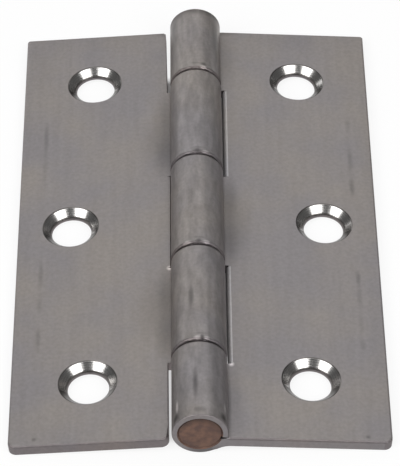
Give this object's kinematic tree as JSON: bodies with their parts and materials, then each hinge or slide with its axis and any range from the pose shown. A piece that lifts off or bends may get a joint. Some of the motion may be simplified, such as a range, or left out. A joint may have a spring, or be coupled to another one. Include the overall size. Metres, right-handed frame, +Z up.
{
  "type": "butt hinge",
  "caption": "Pressed steel butt hinge: two rolled leaves with countersunk zigzag screw holes swing on a riveted fast pin through interleaved knuckles.",
  "frame": {"origin": "on the surface that the hinge lies on, under the pin axis, halfway along the pin", "axes": "+Y along the pin, +X towards the right leaf, +Z up, out of the countersunk faces"},
  "size_m": [0.0468, 0.075, 0.0069],
  "materials": {
    "leaf_steel": "matt rolled mild steel, self colour",
    "pin_steel": "cropped and riveted steel wire with a thin brown film"
  },
  "bodies": {
    "fixed_leaf": {"right_leaf": "leaf_steel", "hinge_pin": "pin_steel"},
    "swinging_leaf": {"left_leaf": "leaf_steel"}
  },
  "joints": [
    {"name": "leaf_swing", "type": "hinge", "parent": "fixed_leaf", "child": "swinging_leaf", "pos_m": [0, 0, 0.00345], "axis": [0, 1, 0], "range_deg": [-110, 186.8]}
  ]
}
